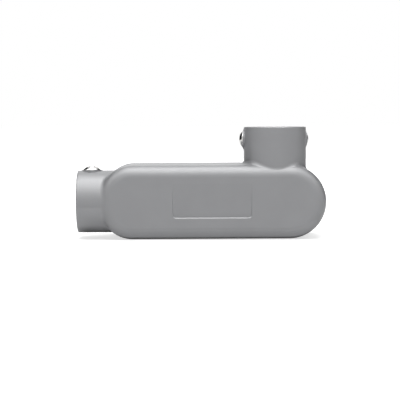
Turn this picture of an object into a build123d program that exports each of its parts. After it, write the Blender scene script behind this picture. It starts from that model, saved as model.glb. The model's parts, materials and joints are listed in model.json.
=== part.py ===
"""Conduit body with two set-screw hubs: one at its end, one on its long side.

Millimetres. The origin is the centre of the stop inside the run hub, where the end
of the conduit seats. +X runs along the body, +Z points up the side hub, and +Y
points from the closed back to the cover.
"""

import os
from math import atan2, cos, radians, sin, sqrt

from build123d import *

# Conduit that both hubs take
conduit_diameter = 23.42
conduit_clearance = 0.24

# Hubs
hub_wall = 3.25
bore_depth = 16.5
throat_radius = 10.2
collar_past_pillar = 0.4
throat_round = 1.2
mouth_round = 0.5
bore_chamfer = 0.4
hub_blend_share = 0.85
run_hub_reach = 11.0
side_hub_reach = 18.0
side_hub_from_end = 24.5

# Casting
body_length = 110.1
body_width = 36.2
casting_depth = 38.0
back_to_axis = 16.5
wall = 2.6
draft_angle = 0.5
end_crown_radius = 50.0
end_corner_from_axis = 2.1
back_round = 5.6
collar_flat = 5.0

# Field sunk in the back face: deepest along its lower edge, level with the face at its top
field_length = 38.4
field_height = 16.8
field_corner = 1.6
field_depth = 0.6
field_edge_slope = 45.0
field_centre_x = 49.1
field_centre_z = 0.7

# Screws, all of one thread
screw_diameter = 4.16
thread_clearance = 0.05
head_diameter = 8.5
head_height = 2.2
head_edge = 0.3
slot_width = 1.3
slot_depth = 1.2
point_chamfer = 0.4

# Set screws and the bosses they turn in
run_screw_from_mouth = 6.9
side_screw_from_mouth = 6.1
left_screw_angle = 6.0
right_screw_angle = 21.0
boss_diameter = 10.2
boss_rise = 0.15
seat_clearance = 0.3
seat_depth = 1.0
point_setback = 0.05
run_screw_turn = 7.0
left_screw_turn = 65.0
right_screw_turn = 110.0

# Cover, gasket and their screws
cover_edge_inset = 0.4
gasket_edge_inset = 0.2
gasket_thickness = 1.2
gasket_lip = 1.4
cover_sheet = 1.6
cover_edge_round = 0.7
cover_raise = 1.4
cover_raise_margin = 5.6
cover_raise_corner = 8.0
cover_raise_slope = 30.0
cover_hole_clearance = 0.25
cover_screw_from_end = 5.6
cover_screw_turn = 20.0
tapped_hole_floor = 1.6
tapped_hole_spare = 1.25
pillar_radius = 3.9

# Sizes worked out from the ones above
bore_radius = conduit_diameter / 2 + conduit_clearance
hub_radius = bore_radius + hub_wall
run_mouth_x = -bore_depth
body_left = run_mouth_x + run_hub_reach
body_right = body_left + body_length
half_width = body_width / 2
end_corner_radius = half_width - end_corner_from_axis
cavity_round = back_round - wall
hub_blend = hub_blend_share * (half_width - hub_radius)
round_end_x = body_right - half_width
side_hub_x = body_right - side_hub_from_end
side_mouth_z = half_width + side_hub_reach
side_stop_z = side_mouth_z - bore_depth
rim_y = casting_depth - back_to_axis
cover_y = rim_y + gasket_thickness
cover_face_y = cover_y + cover_sheet
screw_radius = screw_diameter / 2
hole_radius = screw_radius + thread_clearance
boss_face_radius = hub_radius + boss_rise
set_screw_length = boss_face_radius - bore_radius - point_setback
seat_radius = head_diameter / 2 + seat_clearance
left_screw_x = body_left + cover_screw_from_end
right_screw_x = body_right - cover_screw_from_end
cover_screw_places = [(left_screw_x, 0), (right_screw_x, 0)]
collar_face_x = left_screw_x + pillar_radius + collar_past_pillar
tapped_hole_depth = rim_y - bore_radius - tapped_hole_floor
cover_screw_length = cover_sheet + gasket_thickness + tapped_hole_depth - tapped_hole_spare
cover_hole_radius = screw_radius + cover_hole_clearance
chamfered_radius = bore_radius + bore_chamfer

# Planes that face the back, so that sketches on them read X to the right and Z up
rim_plane = Plane.XZ.offset(-rim_y)
back_plane = Plane.XZ.offset(back_to_axis)
gasket_plane = Plane.XZ.offset(-cover_y)
cover_plane = Plane.XZ.offset(-cover_face_y)


def body_outline(inset):
    """Plan of the body at its rim, moved inwards: gently crowned left end, round right end."""
    corner_z = end_corner_from_axis
    centre_reach = end_crown_radius - end_corner_radius
    crown_x = body_left + end_crown_radius
    corner_x = crown_x - sqrt(centre_reach**2 - corner_z**2)
    join_angle = atan2(corner_z, corner_x - crown_x)
    middle_angle = (join_angle + radians(90)) / 2
    join_x = crown_x + end_crown_radius * cos(join_angle)
    join_z = end_crown_radius * sin(join_angle)
    middle_x = corner_x + end_corner_radius * cos(middle_angle)
    middle_z = corner_z + end_corner_radius * sin(middle_angle)
    with BuildSketch(mode=Mode.PRIVATE) as outline:
        with BuildLine():
            Line((corner_x, half_width), (round_end_x, half_width))
            ThreePointArc((round_end_x, half_width), (body_right, 0), (round_end_x, -half_width))
            Line((round_end_x, -half_width), (corner_x, -half_width))
            ThreePointArc((corner_x, -half_width), (middle_x, -middle_z), (join_x, -join_z))
            ThreePointArc((join_x, -join_z), (body_left, 0), (join_x, join_z))
            ThreePointArc((join_x, join_z), (middle_x, middle_z), (corner_x, half_width))
        make_face()
        if inset > 0:
            offset(amount=-inset)
    return outline.sketch


def boss_face(axis_x, axis_z, outward):
    """Plane on a set-screw boss, with its Z along the screw and out of the hub."""
    direction = Vector(outward)
    origin = Vector(axis_x, 0, axis_z) + direction * boss_face_radius
    x_direction = direction.cross(Vector(0, 0, 1)) if abs(direction.Z) < 0.5 else Vector(0, 1, 0)
    return Plane(origin=origin, x_dir=x_direction, z_dir=direction)


def round_head_screw(length):
    """Slotted round-head screw, its head standing on XY and its shank pointing down."""
    head_radius = head_diameter / 2
    chord = head_height - head_edge
    with BuildPart() as screw:
        with BuildSketch(Plane.XZ):
            with BuildLine():
                Polyline(
                    (0, head_height),
                    (0, -length),
                    (screw_radius - point_chamfer, -length),
                    (screw_radius, -length + point_chamfer),
                    (screw_radius, 0),
                    (head_radius, 0),
                    (head_radius, head_edge),
                )
                dome_radius = (head_radius**2 + chord**2) / (2 * chord)
                RadiusArc((head_radius, head_edge), (0, head_height), -dome_radius)
            make_face()
        revolve(axis=Axis.Z)
        with BuildSketch(Plane.XY.offset(head_height)):
            Rectangle(2 * head_diameter, slot_width)
        extrude(amount=-slot_depth, mode=Mode.SUBTRACT)
    return screw.part


# Boss faces of the set screws: one on top of the run hub, two across the side hub.
# Both side screws are turned towards the cover, the right one further.
left_screw_direction = (-cos(radians(left_screw_angle)), sin(radians(left_screw_angle)), 0)
right_screw_direction = (cos(radians(right_screw_angle)), sin(radians(right_screw_angle)), 0)
run_screw_x = run_mouth_x + run_screw_from_mouth
side_screw_z = side_mouth_z - side_screw_from_mouth
set_screw_seats = {
    "set_screw_run_hub": boss_face(run_screw_x, 0, (0, 0, 1)),
    "set_screw_side_hub_left": boss_face(side_hub_x, side_screw_z, left_screw_direction),
    "set_screw_side_hub_right": boss_face(side_hub_x, side_screw_z, right_screw_direction),
}
slot_turns = {
    "set_screw_run_hub": run_screw_turn,
    "set_screw_side_hub_left": left_screw_turn,
    "set_screw_side_hub_right": right_screw_turn,
}

# Core: everything that is hollow inside the casting, with drafted walls
with BuildPart() as core:
    with BuildSketch(rim_plane):
        add(body_outline(wall))
    extrude(amount=casting_depth - wall, taper=draft_angle)
    fillet(core.faces().sort_by(Axis.Y)[0].edges(), radius=cavity_round)
    # The run hub's inner collar stays solid, square towards the back
    with BuildSketch(Plane.YZ.offset(body_left)):
        Circle(hub_radius)
        with Locations((collar_flat, 0)):
            Rectangle(collar_flat + back_to_axis, body_width, align=(Align.MAX, Align.CENTER))
    extrude(amount=collar_face_x - body_left, mode=Mode.SUBTRACT)
    # Pillars for the cover screws: down to the collar at the left, to the floor at the right
    with BuildSketch(rim_plane):
        with Locations((left_screw_x, 0)):
            Circle(pillar_radius)
            Rectangle(cover_screw_from_end, 2 * pillar_radius, align=(Align.MAX, Align.CENTER))
    extrude(amount=rim_y - throat_radius, mode=Mode.SUBTRACT)
    with BuildSketch(rim_plane):
        with Locations((right_screw_x, 0)):
            Circle(pillar_radius)
            Rectangle(cover_screw_from_end, 2 * pillar_radius, align=(Align.MIN, Align.CENTER))
    extrude(amount=casting_depth, mode=Mode.SUBTRACT)
    # Smooth throats between the conduit stops and the wire space
    with BuildSketch(Plane.YZ):
        Circle(throat_radius)
    extrude(amount=collar_face_x)
    run_throat_edges = core.edges(Select.LAST).filter_by(GeomType.CIRCLE)
    fillet(run_throat_edges.sort_by(Axis.X)[-1], radius=throat_round)
    with BuildSketch(Plane.XY.offset(side_stop_z)):
        with Locations((side_hub_x, 0)):
            Circle(throat_radius)
    extrude(amount=-side_stop_z)
    side_throat_edges = core.edges(Select.LAST).filter_by(GeomType.LINE, reverse=True)
    side_throat_edges = side_throat_edges.filter_by_position(Axis.Z, hub_wall, side_stop_z - hub_wall)
    fillet(side_throat_edges, radius=throat_round)
    # Conduit bores, opened at their mouths by a small chamfer
    with BuildSketch(Plane.YZ):
        Circle(bore_radius)
    extrude(amount=run_mouth_x)
    with BuildSketch(Plane.YZ.offset(run_mouth_x)):
        Circle(chamfered_radius)
    extrude(amount=bore_chamfer, taper=45)
    with BuildSketch(Plane.XY.offset(side_stop_z)):
        with Locations((side_hub_x, 0)):
            Circle(bore_radius)
    extrude(amount=bore_depth)
    with BuildSketch(Plane.XY.offset(side_mouth_z)):
        with Locations((side_hub_x, 0)):
            Circle(chamfered_radius)
    extrude(amount=-bore_chamfer, taper=45)

# Sunk field, with sloping edges and a floor that rises towards its top
field_low_z = field_centre_z - field_height / 2
floor_angle = atan2(field_depth, field_height)
with BuildPart() as field:
    with BuildSketch(back_plane):
        with Locations((field_centre_x, field_centre_z)):
            RectangleRounded(field_length, field_height, field_corner)
    extrude(amount=-field_depth, taper=field_edge_slope)
    field_floor = Plane(
        origin=(0, field_depth - back_to_axis, field_low_z),
        x_dir=(1, 0, 0),
        z_dir=(0, cos(floor_angle), sin(floor_angle)),
    )
    split(bisect_by=field_floor, keep=Keep.BOTTOM)

# Casting: drafted shell and both hubs, blended together and then cored
with BuildPart() as body:
    with BuildSketch(rim_plane):
        add(body_outline(0))
    extrude(amount=casting_depth, taper=draft_angle)
    fillet(body.faces().sort_by(Axis.Y)[0].edges(), radius=back_round)
    with BuildSketch(Plane.YZ.offset(run_mouth_x)):
        Circle(hub_radius)
    extrude(amount=collar_face_x - run_mouth_x)
    run_hub_edges = body.edges(Select.LAST).filter_by(GeomType.LINE, reverse=True).sort_by(Axis.X)
    fillet(run_hub_edges[1:], radius=hub_blend)
    with BuildSketch():
        with Locations((side_hub_x, 0)):
            Circle(hub_radius)
    extrude(amount=side_mouth_z)
    side_hub_edges = body.edges(Select.LAST).filter_by(GeomType.LINE, reverse=True).sort_by(Axis.Z)
    fillet(side_hub_edges[:-1], radius=hub_blend)
    mouth_edges = [body.edges().sort_by(Axis.X)[0], body.edges().sort_by(Axis.Z)[-1]]
    fillet(mouth_edges, radius=mouth_round)
    # Round bosses around the set screws
    for seat in set_screw_seats.values():
        with BuildSketch(seat):
            Circle(boss_diameter / 2)
        extrude(amount=-(boss_rise + hub_wall))
    add(core.part, mode=Mode.SUBTRACT)
    # Tapped holes, each set screw's with a shallow spot face that its head can enter
    for seat in set_screw_seats.values():
        with BuildSketch(seat):
            Circle(hole_radius)
        extrude(amount=-(boss_rise + hub_wall + hole_radius), mode=Mode.SUBTRACT)
        with BuildSketch(seat):
            Circle(seat_radius)
        extrude(amount=-seat_depth, mode=Mode.SUBTRACT)
    with BuildSketch(rim_plane):
        with Locations(cover_screw_places):
            Circle(hole_radius)
    extrude(amount=tapped_hole_depth, mode=Mode.SUBTRACT)
    add(field.part, mode=Mode.SUBTRACT)

# Gasket: a flat ring with a tab around each cover screw
with BuildPart() as gasket:
    with BuildSketch(gasket_plane):
        add(body_outline(gasket_edge_inset))
        add(body_outline(wall + gasket_lip), mode=Mode.SUBTRACT)
        with Locations(cover_screw_places):
            Circle(pillar_radius)
        with Locations((left_screw_x, 0)):
            Rectangle(cover_screw_from_end - wall, 2 * pillar_radius, align=(Align.MAX, Align.CENTER))
        with Locations((right_screw_x, 0)):
            Rectangle(cover_screw_from_end - wall, 2 * pillar_radius, align=(Align.MIN, Align.CENTER))
        with Locations(cover_screw_places):
            Circle(cover_hole_radius, mode=Mode.SUBTRACT)
    extrude(amount=gasket_thickness)

# Cover: a pressed sheet with its middle raised
raise_length = right_screw_x - left_screw_x - head_diameter - cover_raise_margin
raise_height = body_width - 2 * cover_raise_margin
with BuildPart() as cover:
    with BuildSketch(cover_plane):
        add(body_outline(cover_edge_inset))
    extrude(amount=cover_sheet)
    fillet(cover.faces().sort_by(Axis.Y)[-1].edges(), radius=cover_edge_round)
    for plane, mode in ((cover_plane, Mode.ADD), (gasket_plane, Mode.SUBTRACT)):
        with BuildSketch(plane):
            with Locations(((left_screw_x + right_screw_x) / 2, 0)):
                RectangleRounded(raise_length, raise_height, cover_raise_corner)
        extrude(amount=-cover_raise, taper=cover_raise_slope, mode=mode)
    with BuildSketch(cover_plane):
        with Locations(cover_screw_places):
            Circle(cover_hole_radius)
    extrude(amount=cover_sheet, mode=Mode.SUBTRACT)

body.part.label = "body"
gasket.part.label = "gasket"
cover.part.label = "cover"
pieces = [body.part, gasket.part, cover.part]

set_screw = round_head_screw(set_screw_length)
for name, seat in set_screw_seats.items():
    with BuildPart() as placed_screw:
        with Locations(seat):
            add(set_screw, rotation=(0, 0, slot_turns[name]))
    placed_screw.part.label = name
    pieces.append(placed_screw.part)

cover_screw = round_head_screw(cover_screw_length)
for name, screw_x in (("cover_screw_left", left_screw_x), ("cover_screw_right", right_screw_x)):
    seat = Plane(origin=(screw_x, cover_face_y, 0), x_dir=(1, 0, 0), z_dir=(0, 1, 0))
    with BuildPart() as placed_screw:
        with Locations(seat):
            add(cover_screw, rotation=(0, 0, cover_screw_turn))
    placed_screw.part.label = name
    pieces.append(placed_screw.part)

os.makedirs("parts", exist_ok=True)
for piece in pieces:
    export_step(piece, f"parts/{piece.label}.step")
    box = piece.bounding_box()
    print(piece.label, round(piece.volume, 1), piece.is_valid, box.min, box.max)
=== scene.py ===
import json
import math

import bmesh
import bpy
from mathutils import Matrix, Vector


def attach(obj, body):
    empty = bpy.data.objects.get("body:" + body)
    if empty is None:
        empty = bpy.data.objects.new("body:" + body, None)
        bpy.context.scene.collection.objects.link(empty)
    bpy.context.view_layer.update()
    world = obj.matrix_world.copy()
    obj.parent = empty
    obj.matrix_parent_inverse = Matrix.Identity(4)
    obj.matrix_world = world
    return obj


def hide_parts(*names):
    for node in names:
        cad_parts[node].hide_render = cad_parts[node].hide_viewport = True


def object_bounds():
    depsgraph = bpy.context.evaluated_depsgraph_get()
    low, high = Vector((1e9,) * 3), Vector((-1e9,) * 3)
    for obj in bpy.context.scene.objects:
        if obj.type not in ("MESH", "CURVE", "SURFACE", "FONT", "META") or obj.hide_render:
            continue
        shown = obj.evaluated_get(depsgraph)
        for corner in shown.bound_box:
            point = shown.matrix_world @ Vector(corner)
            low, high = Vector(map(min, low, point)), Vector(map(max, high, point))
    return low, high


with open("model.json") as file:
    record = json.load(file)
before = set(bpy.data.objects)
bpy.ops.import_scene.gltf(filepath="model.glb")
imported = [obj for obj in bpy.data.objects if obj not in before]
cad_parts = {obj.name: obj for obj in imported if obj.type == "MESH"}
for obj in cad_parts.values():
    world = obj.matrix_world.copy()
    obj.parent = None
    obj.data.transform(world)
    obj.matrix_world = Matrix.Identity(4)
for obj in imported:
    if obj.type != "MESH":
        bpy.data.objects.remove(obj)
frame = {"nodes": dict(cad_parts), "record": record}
cad_low, cad_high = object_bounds()
nodes = frame["nodes"]
scene = bpy.context.scene

# Lengths are in metres, and angles in radians unless their name says degrees
MM = 0.001
X = Vector((1, 0, 0))
Y = Vector((0, 1, 0))
Z = Vector((0, 0, 1))
SIDES = {"left": -1, "right": 1}
centre = (cad_low + cad_high) / 2
floor_z = cad_low.z

# Camera, fitted to the object's outline in the photograph; the focal length is in its pixels
EYE = Vector((42.06, -682.83, 40.86)) * MM
PITCH = 0.05925
YAW = 0.00179
ROLL = -0.0055
FOCAL_PIXELS = 1392.1
PICTURE_PIXELS = 400
SENSOR_WIDTH = 36.0
CLIP_START = 0.05
CLIP_END = 20

# Screw head, as in the CAD screws, with a small chamfer added under its rim
HEAD_RADIUS = 4.25 * MM
HEAD_HEIGHT = 2.2 * MM
HEAD_EDGE = 0.3 * MM
HEAD_CHAMFER = 0.12 * MM
DOME_RISE = HEAD_HEIGHT - HEAD_EDGE
DOME_RADIUS = (HEAD_RADIUS ** 2 + DOME_RISE ** 2) / (2 * DOME_RISE)
SLOT_WIDTH = 1.3 * MM
SLOT_DEPTH = 1.2 * MM
SLOT_CUTTER = HEAD_RADIUS * 4

# Thread of a number 8 screw; the shares are of half a pitch, flat root and then sloping flank
THREAD_PITCH = 0.794 * MM
THREAD_CREST = 2.08 * MM
THREAD_ROOT = 1.66 * MM
ROOT_SHARE = 0.12
FLANK_SHARE = 0.72
RUN_OUT_START = 0.15 * MM
RUN_OUT_LENGTH = 0.5 * MM
POINT_CHAMFER = 0.4 * MM

# Fineness of the screws' meshes, and the angle from which an edge stays sharp
SCREW_SIDES = 64
THREAD_STEPS = 12
DOME_STEPS = 12
SHARP_DEGREES = 50

# How far each screw's slot is turned, in degrees
SLOT_TURNS = {
    "set_screw_run_hub": 7,
    "set_screw_side_hub_left": 65,
    "set_screw_side_hub_right": 110,
    "cover_screw_left": 20,
    "cover_screw_right": 20,
}

# An axis whose part along a frame axis is more than this counts as lying along it
NEARLY_ALONG = 0.9

# Paint, and the range that most values of a noise texture lie in
PAINT_GREY = (0.271, 0.2735, 0.283, 1)
CASTING_PEEL = 0.035 * MM
COVER_PEEL = 0.02 * MM
NOISE_LOW = 0.3
NOISE_HIGH = 0.7

# Floor, and the mats just below it, which end a little behind the object's front
FLOOR_REACH = 8.0
MAT_DROP = 0.1 * MM
HUB_MAT_END = 3 * MM
HUB_MAT_FRONT = -12 * MM
BODY_MAT_FRONT = -15 * MM

# Black cards behind the object, one on each side, whose near ends stand further out
CARD_NEAR_OUT = 1.25
CARD_NEAR_Y = 0.25
CARD_NEAR_TOP = 1.8
CARD_FAR_OUT = 0.50
CARD_FAR_TOP_OUT = 0.42
CARD_FAR_Y = 1.05
CARD_FAR_TOP = 0.95

# Lamps: places from the object's centre, sizes, and the radiance of each
TOP_Y = -0.20
TOP_HEIGHT = 0.85
TOP_SIZE = (0.6, 1.0)
TOP_RADIANCE = 3.4
WING_OUT = 0.55
WING_AIM_OUT = 0.2
WING_SIZE = (0.5, 1.0)
WING_RADIANCE = 1.8
NEAR_PLACE = (0.0, -0.85, 0.62)
NEAR_SIZE = (0.6, 0.4)
NEAR_RADIANCE = 1.2
FILL_SIZE = (2.4, 1.6)
FRONT_FILL_PLACE = (0.0, -0.86, -1.0)
FRONT_FILL_RADIANCE = 2.75
BACK_FILL_PLACE = (0.0, 1.25, 0.2)
BACK_FILL_RADIANCE = 1.4
WORLD_LIGHT = 0.05
WORLD_SEEN = 1.0


# Camera
def add_camera():
    """Looks straight at the closed back, from a little above it."""
    heading = Vector((math.sin(YAW), math.cos(YAW), 0))
    level = Vector((math.cos(YAW), -math.sin(YAW), 0))
    forward = heading * math.cos(PITCH) - Z * math.sin(PITCH)
    upright = heading * math.sin(PITCH) + Z * math.cos(PITCH)
    right = level * math.cos(ROLL) + upright * math.sin(ROLL)
    up = upright * math.cos(ROLL) - level * math.sin(ROLL)
    data = bpy.data.cameras.new("camera")
    data.sensor_width = SENSOR_WIDTH
    data.lens = FOCAL_PIXELS / PICTURE_PIXELS * SENSOR_WIDTH
    data.clip_start = CLIP_START
    data.clip_end = CLIP_END
    camera = bpy.data.objects.new("camera", data)
    turned = Matrix((right, up, -forward)).transposed().to_4x4()
    camera.matrix_world = Matrix.Translation(EYE) @ turned
    scene.collection.objects.link(camera)
    scene.camera = camera


add_camera()
scene.view_settings.view_transform = "Standard"


# Node trees
def grey(value):
    return (value, value, value, 1)


class NodeTree:
    """The node tree of a material or the world, with short calls for adding to it."""

    # Places of a Mix node's colour sockets: share, first and second colour, and the result
    SHARE = 0
    FIRST = 6
    SECOND = 7
    MIXED = 2

    def __init__(self, owner, output_kind):
        owner.use_nodes = True
        self.tree = owner.node_tree
        self.tree.nodes.clear()
        self.output = self.tree.nodes.new(output_kind)

    def feed(self, socket, value):
        """Links a node's output to the socket, or sets the socket to a plain value."""
        if isinstance(value, bpy.types.NodeSocket):
            self.tree.links.new(value, socket)
        else:
            socket.default_value = value

    def add(self, kind, inputs=None, **settings):
        node = self.tree.nodes.new(kind)
        for key, value in settings.items():
            setattr(node, key, value)
        for key, value in (inputs or {}).items():
            self.feed(node.inputs[key], value)
        return node

    def place(self):
        return self.add("ShaderNodeTexCoord").outputs["Object"]

    def math(self, operation, first, second=0.0):
        return self.add("ShaderNodeMath", {0: first, 1: second}, operation=operation).outputs[0]

    def ramp(self, value, low=NOISE_LOW, high=NOISE_HIGH, out_low=0.0, out_high=1.0):
        node = self.add("ShaderNodeMapRange", {
            "Value": value, "From Min": low, "From Max": high, "To Min": out_low, "To Max": out_high,
        })
        return node.outputs["Result"]

    def noise(self, place, scale, detail=2.0, roughness=0.5):
        node = self.add("ShaderNodeTexNoise", {
            "Vector": place, "Scale": scale, "Detail": detail, "Roughness": roughness,
        })
        return node.outputs["Fac"]

    def cells(self, place, scale):
        """Distance to the nearest of many scattered points."""
        return self.add("ShaderNodeTexVoronoi", {"Vector": place, "Scale": scale}).outputs["Distance"]

    def mix_colour(self, share, first, second):
        inputs = {self.SHARE: share, self.FIRST: first, self.SECOND: second}
        return self.add("ShaderNodeMix", inputs, data_type="RGBA").outputs[self.MIXED]

    def bump(self, height, strength, distance, normal=None):
        inputs = {"Height": height, "Strength": strength, "Distance": distance}
        if normal is not None:
            inputs["Normal"] = normal
        return self.add("ShaderNodeBump", inputs).outputs["Normal"]

    def principled(self, inputs):
        return self.add("ShaderNodeBsdfPrincipled", inputs).outputs["BSDF"]

    def diffuse(self, value):
        return self.add("ShaderNodeBsdfDiffuse", {"Color": grey(value)}).outputs[0]

    def emission(self, strength):
        return self.add("ShaderNodeEmission", {"Color": grey(1.0), "Strength": strength}).outputs[0]

    def background(self, strength):
        return self.add("ShaderNodeBackground", {"Color": grey(1.0), "Strength": strength}).outputs[0]

    def mix_shader(self, share, first, second):
        return self.add("ShaderNodeMixShader", {0: share, 1: first, 2: second}).outputs[0]

    def rays(self):
        """Whether a ray comes from the camera, and whether it was reflected or refracted."""
        path = self.add("ShaderNodeLightPath").outputs
        mirrored = self.math("MAXIMUM", path["Is Glossy Ray"], path["Is Transmission Ray"])
        return path["Is Camera Ray"], mirrored

    def finish(self, surface):
        self.tree.links.new(surface, self.output.inputs["Surface"])


def new_material(name):
    material = bpy.data.materials.new(name)
    return material, NodeTree(material, "ShaderNodeOutputMaterial")


# Materials of the object
def tinted(base, factor):
    red, green, blue, alpha = base
    return (red * factor, green * factor, blue * factor, alpha)


def powder_coat(name, base, peel_height):
    """Satin grey powder coat: fine orange peel, faint clouding, pale specks and soft edges."""
    material, tree = new_material(name)
    place = tree.place()
    cloud = tree.noise(place, scale=90, detail=3.0)
    peel = tree.noise(place, scale=1500, roughness=0.45)
    grain = tree.noise(place, scale=5200, roughness=0.6)
    speck = tree.ramp(tree.cells(place, scale=900), low=0.05, high=0.11, out_low=1.0, out_high=0.0)
    clouded = tree.mix_colour(tree.ramp(cloud), tinted(base, 0.97), tinted(base, 1.03))
    colour = tree.mix_colour(tree.math("MULTIPLY", speck, 0.10), clouded, grey(0.62))
    soft_edge = tree.add("ShaderNodeBevel", {"Radius": 0.25 * MM}, samples=4).outputs["Normal"]
    peeled = tree.bump(peel, strength=0.35, distance=peel_height, normal=soft_edge)
    grained = tree.bump(grain, strength=0.25, distance=peel_height * 0.35, normal=peeled)
    blend = tree.math("ADD", tree.math("MULTIPLY", cloud, 0.6), tree.math("MULTIPLY", grain, 0.4))
    surface = tree.principled({
        "Base Color": colour,
        "Roughness": tree.ramp(blend, out_low=0.36, out_high=0.44),
        "Normal": grained,
        "Specular IOR Level": 1.0,
        "Metallic": 0.12,
    })
    tree.finish(surface)
    return material


def zinc(name):
    """Bright zinc plate: clouded tint, fine turning rings, pits, and painted shade in the thread's
    root.
    """
    material, tree = new_material(name)
    place = tree.place()
    axes = tree.add("ShaderNodeSeparateXYZ", {0: place}).outputs
    x_squared = tree.math("MULTIPLY", axes["X"], axes["X"])
    y_squared = tree.math("MULTIPLY", axes["Y"], axes["Y"])
    radius = tree.math("SQRT", tree.math("ADD", x_squared, y_squared))
    along_radius = tree.add("ShaderNodeCombineXYZ", {"X": radius}).outputs[0]
    rings = tree.noise(along_radius, scale=6000, detail=3.0, roughness=0.6)
    cloud = tree.noise(place, scale=700, detail=3.0)
    pits = tree.noise(place, scale=4200)
    clouded = tree.mix_colour(
        tree.ramp(cloud, low=0.35, high=0.65), grey(0.58), (0.76, 0.75, 0.73, 1))
    # Painted shade: below the head, the colour in the thread's root is darkened towards grey 0.12
    below_head = tree.math("LESS_THAN", axes["Z"], -0.05 * MM)
    root_shade = tree.ramp(radius, low=THREAD_ROOT, high=THREAD_CREST, out_low=0.5, out_high=0.0)
    colour = tree.mix_colour(tree.math("MULTIPLY", root_shade, below_head), clouded, grey(0.12))
    ringed = tree.bump(rings, strength=0.12, distance=0.02 * MM)
    surface = tree.principled({
        "Base Color": colour,
        "Metallic": 1.0,
        "Roughness": tree.ramp(cloud, out_low=0.12, out_high=0.2),
        "Normal": tree.bump(pits, strength=0.10, distance=0.01 * MM, normal=ringed),
    })
    tree.finish(surface)
    return material


def sponge(name):
    """Closed-cell black gasket sheet with small pores."""
    material, tree = new_material(name)
    place = tree.place()
    pore = tree.ramp(tree.cells(place, scale=2600), low=0.15, high=0.4)
    cloud = tree.noise(place, scale=300)
    sheet = tree.mix_colour(cloud, grey(0.026), grey(0.042))
    surface = tree.principled({
        "Base Color": tree.mix_colour(pore, grey(0.012), sheet),
        "Roughness": tree.ramp(cloud, out_low=0.75, out_high=0.9),
        "Normal": tree.bump(pore, strength=0.6, distance=0.06 * MM),
        "Specular IOR Level": 0.3,
    })
    tree.finish(surface)
    return material


finishes = {
    "body": powder_coat("casting_finish", PAINT_GREY, CASTING_PEEL),
    "cover": powder_coat("cover_finish", PAINT_GREY, COVER_PEEL),
    "gasket": sponge("gasket_finish"),
}
for name, finish in finishes.items():
    nodes[name].data.materials.clear()
    nodes[name].data.materials.append(finish)


# Threaded screws in the place of the CAD screws
def clamped(value):
    """The value, kept between 0 and 1."""
    return min(1, max(0, value))


def thread_radius(angle, height, length):
    """Radius of the thread at an angle, at a height that is negative below the seat."""
    turn = (height / THREAD_PITCH - angle / (2 * math.pi)) % 1
    rise = clamped((abs(2 * turn - 1) - ROOT_SHARE) / FLANK_SHARE)
    run_out = clamped((-height - RUN_OUT_START) / RUN_OUT_LENGTH)
    point = THREAD_CREST - POINT_CHAMFER + (height + length)
    return min(THREAD_ROOT + (THREAD_CREST - THREAD_ROOT) * rise * run_out, point)


def add_ring(mesh, height, radius_at):
    """A ring of vertices, whose radius is a function of the angle."""
    ring = []
    for i in range(SCREW_SIDES):
        angle = 2 * math.pi * i / SCREW_SIDES
        radius = radius_at(angle)
        ring.append(mesh.verts.new((radius * math.cos(angle), radius * math.sin(angle), height)))
    return ring


def add_circle(mesh, radius, height):
    return add_ring(mesh, height, lambda angle: radius)


def bridge(mesh, lower, upper):
    """Faces between two rings."""
    for i in range(SCREW_SIDES):
        after = (i + 1) % SCREW_SIDES
        mesh.faces.new((lower[i], lower[after], upper[after], upper[i]))


def thread_rings(mesh, length):
    """Rings of the thread from the point up to the seat."""
    steps = math.ceil(length / THREAD_PITCH * THREAD_STEPS)
    rings = []
    for i in range(steps + 1):
        height = -length + length * i / steps
        rings.append(add_ring(mesh, height, lambda angle: thread_radius(angle, height, length)))
    return rings


def head_rings(mesh):
    """Rings of the head from the seat up to the last one below the top."""
    rings = [
        add_circle(mesh, HEAD_RADIUS - HEAD_CHAMFER, 0),
        add_circle(mesh, HEAD_RADIUS, HEAD_CHAMFER),
        add_circle(mesh, HEAD_RADIUS, HEAD_EDGE),
    ]
    rim_angle = math.asin(HEAD_RADIUS / DOME_RADIUS)
    for i in range(1, DOME_STEPS):
        angle = rim_angle * (1 - i / DOME_STEPS)
        height = HEAD_HEIGHT - DOME_RADIUS * (1 - math.cos(angle))
        rings.append(add_circle(mesh, DOME_RADIUS * math.sin(angle), height))
    return rings


def screw_mesh(name, length):
    """Round-head screw on its local Z: head above the seat at 0, rolled thread below it."""
    mesh = bmesh.new()
    rings = thread_rings(mesh, length)
    mesh.faces.new(reversed(rings[0]))
    rings += head_rings(mesh)
    for lower, upper in zip(rings, rings[1:]):
        bridge(mesh, lower, upper)
    top = mesh.verts.new((0, 0, HEAD_HEIGHT))
    last = rings[-1]
    for i in range(SCREW_SIDES):
        mesh.faces.new((last[i], last[(i + 1) % SCREW_SIDES], top))
    bmesh.ops.recalc_face_normals(mesh, faces=mesh.faces)
    data = bpy.data.meshes.new(name)
    mesh.to_mesh(data)
    mesh.free()
    return data


def cut_slot(screw):
    """Cuts the driver slot across the head with a box, and keeps only the cut mesh."""
    mesh = bmesh.new()
    bmesh.ops.create_cube(mesh, size=1)
    bmesh.ops.scale(mesh, vec=(SLOT_CUTTER, SLOT_WIDTH, SLOT_CUTTER), verts=mesh.verts)
    lift = HEAD_HEIGHT - SLOT_DEPTH + SLOT_CUTTER / 2
    bmesh.ops.translate(mesh, vec=(0, 0, lift), verts=mesh.verts)
    cutter = bpy.data.objects.new("cutter", bpy.data.meshes.new("cutter"))
    mesh.to_mesh(cutter.data)
    mesh.free()
    scene.collection.objects.link(cutter)
    modifier = screw.modifiers.new("slot", "BOOLEAN")
    modifier.operation = "DIFFERENCE"
    modifier.solver = "EXACT"
    modifier.object = cutter
    graph = bpy.context.evaluated_depsgraph_get()
    cut = bpy.data.meshes.new_from_object(screw.evaluated_get(graph))
    screw.modifiers.clear()
    screw.data = cut
    bpy.data.objects.remove(cutter)


def extent(points, direction):
    """Lowest and highest place of the points along a direction."""
    along = [point.dot(direction) for point in points]
    return min(along), max(along)


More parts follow.
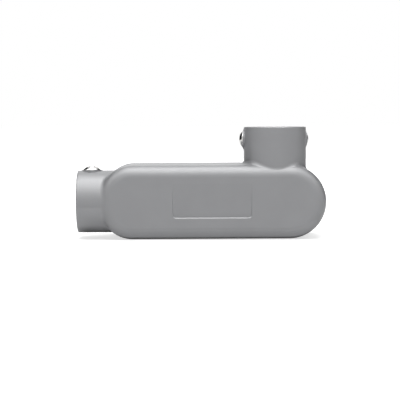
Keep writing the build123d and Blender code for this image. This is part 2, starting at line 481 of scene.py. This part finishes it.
def middle(points, direction):
    return sum(extent(points, direction)) / 2


def head_axes(axis):
    """The two directions across a screw that its slot's turn is measured in."""
    if axis.y > NEARLY_ALONG:
        first = X
    elif axis.z > NEARLY_ALONG:
        first = Y
    else:
        first = axis.cross(Z).normalized()
    return first, axis.cross(first)


def threaded_screw(node, axis, turn):
    """Screw with a thread in the place of a CAD screw, its slot cut and turned like the CAD's."""
    first, second = head_axes(axis)
    points = [vertex.co for vertex in nodes[node].data.vertices]
    # The highest points of a CAD screw are where its slot cuts the dome
    tip, slot_edge = extent(points, axis)
    edge_height = HEAD_HEIGHT - DOME_RADIUS + math.sqrt(DOME_RADIUS ** 2 - (SLOT_WIDTH / 2) ** 2)
    seat_height = slot_edge - edge_height
    seat = axis * seat_height + first * middle(points, first) + second * middle(points, second)
    name = node + "_threaded"
    screw = bpy.data.objects.new(name, screw_mesh(name, seat_height - tip))
    scene.collection.objects.link(screw)
    cut_slot(screw)
    screw.data.materials.clear()
    screw.data.materials.append(zinc_finish)
    screw.data.shade_smooth()
    screw.data.set_sharp_from_angle(angle=math.radians(SHARP_DEGREES))
    upright = Matrix((first, second, axis)).transposed().to_4x4()
    turned = upright @ Matrix.Rotation(math.radians(turn), 4, "Z")
    screw.matrix_world = Matrix.Translation(seat) @ turned
    return screw


zinc_finish = zinc("zinc_finish")
behaviour = frame["record"]["behaviour"]
joint_axes = {joint["child"]: Vector(joint["axis"]).normalized() for joint in behaviour["joints"]}
for body, members in behaviour["bodies"].items():
    # The cover screws' body is no joint's child: they point out of the cover
    axis = joint_axes.get(body, Y)
    for node in members:
        if node in SLOT_TURNS:
            piece = threaded_screw(node, axis, SLOT_TURNS[node])
            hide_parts(node)
            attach(piece, body)


# Floor, mats and cards
def panel(name, corners, material):
    """Flat four-cornered piece of the stage."""
    mesh = bpy.data.meshes.new(name)
    mesh.from_pydata(corners, [], [(0, 1, 2, 3)])
    obj = bpy.data.objects.new(name, mesh)
    obj.data.materials.append(material)
    scene.collection.objects.link(obj)
    return obj


def level_panel(name, low, high, height, material):
    """Level rectangle between two corners, each given as its x and y."""
    corners = ((low[0], low[1]), (high[0], low[1]), (high[0], high[1]), (low[0], high[1]))
    return panel(name, [(x, y, height) for x, y in corners], material)


def pale_paint(name):
    """Pale and, further out, white to the camera; to reflections a painted glow, with painted shade
    near the object.
    """
    material, tree = new_material(name)
    away = tree.add("ShaderNodeVectorMath", {0: tree.place()}, operation="LENGTH").outputs["Value"]
    lift = tree.emission(tree.ramp(away, low=0.12, high=0.5, out_low=0.66, out_high=1.0))
    shown = tree.add("ShaderNodeAddShader", {0: tree.diffuse(0.6), 1: lift}).outputs[0]
    # Painted light and painted shade: reflected rays see the floor glow, dimmed where occlusion near
    # the object is high
    open_sky = tree.add("ShaderNodeAmbientOcclusion", {"Distance": 0.04}, samples=8).outputs["AO"]
    glow_with_painted_shade = tree.emission(tree.ramp(open_sky, low=0.35, high=0.85, out_low=0.1, out_high=1.0))
    camera_ray, mirrored = tree.rays()
    unseen = tree.mix_shader(mirrored, tree.diffuse(0.1), glow_with_painted_shade)
    tree.finish(tree.mix_shader(camera_ray, unseen, shown))
    return material


def black_paint(name):
    material, tree = new_material(name)
    tree.finish(tree.diffuse(0.02))
    return material


floor_paint = pale_paint("floor_paint")
floor = level_panel(
    "floor", (-FLOOR_REACH, -FLOOR_REACH), (FLOOR_REACH, FLOOR_REACH), floor_z, floor_paint)
# The floor passes the fill light from below, as a light table does
floor.visible_shadow = False

# The mats keep the light from below off the object's underside
mats = (
    ("mat_hub", cad_low.x, HUB_MAT_END, HUB_MAT_FRONT),
    ("mat_body", HUB_MAT_END, cad_high.x, BODY_MAT_FRONT),
)
for name, start, end, front in mats:
    mat = level_panel(name, (start, front), (end, cad_high.y), floor_z - MAT_DROP, floor_paint)
    mat.visible_camera = False

# Only reflections show the black cards
card_black = black_paint("card_black")
for name, side in SIDES.items():
    near_x = centre.x + side * CARD_NEAR_OUT
    corners = [
        (near_x, CARD_NEAR_Y, floor_z),
        (centre.x + side * CARD_FAR_OUT, CARD_FAR_Y, floor_z),
        (centre.x + side * CARD_FAR_TOP_OUT, CARD_FAR_Y, CARD_FAR_TOP),
        (near_x, CARD_NEAR_Y, CARD_NEAR_TOP),
    ]
    card = panel("card_" + name, corners, card_black)
    card.visible_camera = False
    card.visible_shadow = False
    card.visible_diffuse = False


# Light
def add_world():
    """Gives a little light, and is white to the camera and in reflections."""
    world = bpy.data.worlds.new("world")
    scene.world = world
    sky = NodeTree(world, "ShaderNodeOutputWorld")
    camera_ray, mirrored = sky.rays()
    seen = sky.math("MAXIMUM", camera_ray, mirrored)
    sky.finish(sky.mix_shader(seen, sky.background(WORLD_LIGHT), sky.background(WORLD_SEEN)))


def softbox(name, offset, size, radiance, aim=(0, 0, 0)):
    """Rectangular lamp, placed and aimed by offsets from the object's centre."""
    width, height = size
    place = centre + Vector(offset)
    data = bpy.data.lights.new(name, "AREA")
    data.shape = "RECTANGLE"
    data.size = width
    data.size_y = height
    data.energy = radiance * math.pi * width * height
    lamp = bpy.data.objects.new(name, data)
    lamp.location = place
    lamp.rotation_mode = "QUATERNION"
    lamp.rotation_quaternion = (centre + Vector(aim) - place).to_track_quat("-Z", "Y")
    scene.collection.objects.link(lamp)
    return lamp


add_world()
softbox("top_softbox", (0.0, TOP_Y, TOP_HEIGHT), TOP_SIZE, TOP_RADIANCE)
softbox("near_softbox", NEAR_PLACE, NEAR_SIZE, NEAR_RADIANCE)
for name, side in SIDES.items():
    wing_place = (side * WING_OUT, TOP_Y, TOP_HEIGHT)
    softbox("top_wing_" + name, wing_place, WING_SIZE, WING_RADIANCE, aim=(side * WING_AIM_OUT, 0, 0))
front_fill = softbox("front_fill", FRONT_FILL_PLACE, FILL_SIZE, FRONT_FILL_RADIANCE)
back_fill = softbox("back_fill", BACK_FILL_PLACE, FILL_SIZE, BACK_FILL_RADIANCE)
for fill in (front_fill, back_fill):
    fill.visible_glossy = False
